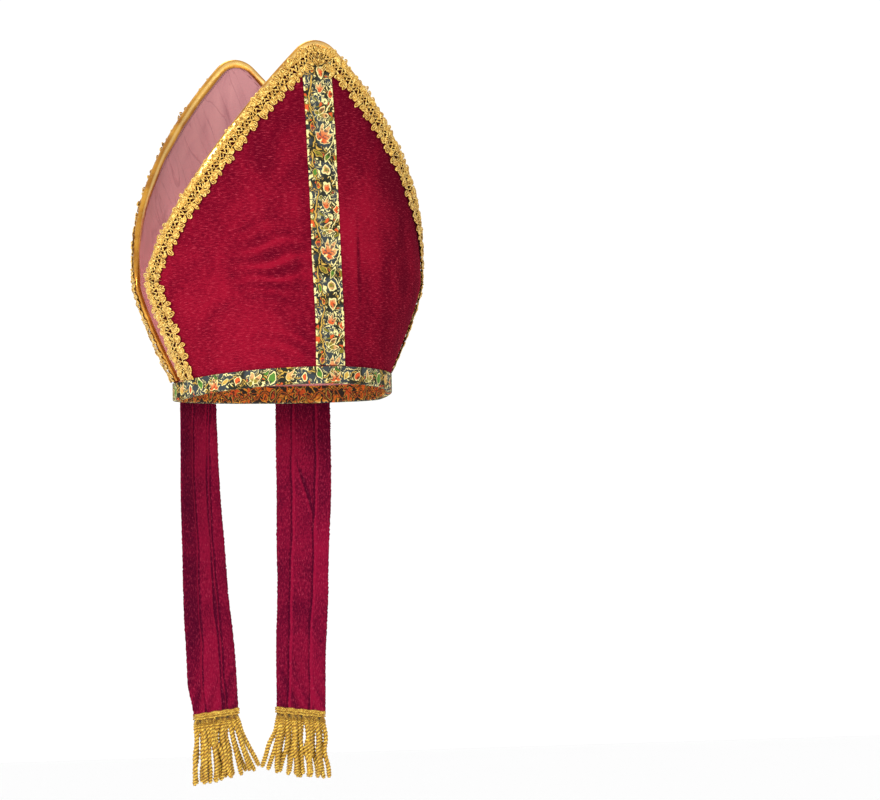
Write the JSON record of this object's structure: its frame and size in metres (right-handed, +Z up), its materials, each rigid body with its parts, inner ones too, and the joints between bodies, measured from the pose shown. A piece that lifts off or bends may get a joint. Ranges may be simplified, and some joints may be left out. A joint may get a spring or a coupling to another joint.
{
  "type": "bishop mitre",
  "caption": "Tall pointed ceremonial hat of two velvet panels edged with gold lace on a brocade band, with fringed velvet lappets hanging from the back.",
  "frame": {"origin": "middle of the head opening, level with the panels' lower edge at the rim", "axes": "+Z up towards the two points, -Y towards the front, +X towards the wearer's left"},
  "size_m": [0.2748, 0.1923, 0.6605],
  "materials": {
    "velvet": "crimson velvet with a short crushed pile",
    "satin_lining": "rose satin",
    "gold_binding": "shiny gold lame bias strip",
    "gold_lace": "openwork lace of metallic gold thread",
    "brocade": "dark woven ribbon with gold, green and orange flowers",
    "lappet_velvet": "crimson velvet, softer and darker",
    "gold_cord": "twisted gold cord"
  },
  "bodies": {
    "root": {"front_panel": "velvet", "back_panel": "velvet", "front_lining": "satin_lining", "back_lining": "satin_lining", "front_binding": "gold_binding", "back_binding": "gold_binding", "front_lace": "gold_lace", "back_lace": "gold_lace", "front_stripe": "brocade", "brim_band": "brocade", "left_lappet": "lappet_velvet", "right_lappet": "lappet_velvet", "left_lappet_stripe": "brocade", "right_lappet_stripe": "brocade", "left_fringe": "gold_cord", "right_fringe": "gold_cord"}
  },
  "joints": []
}
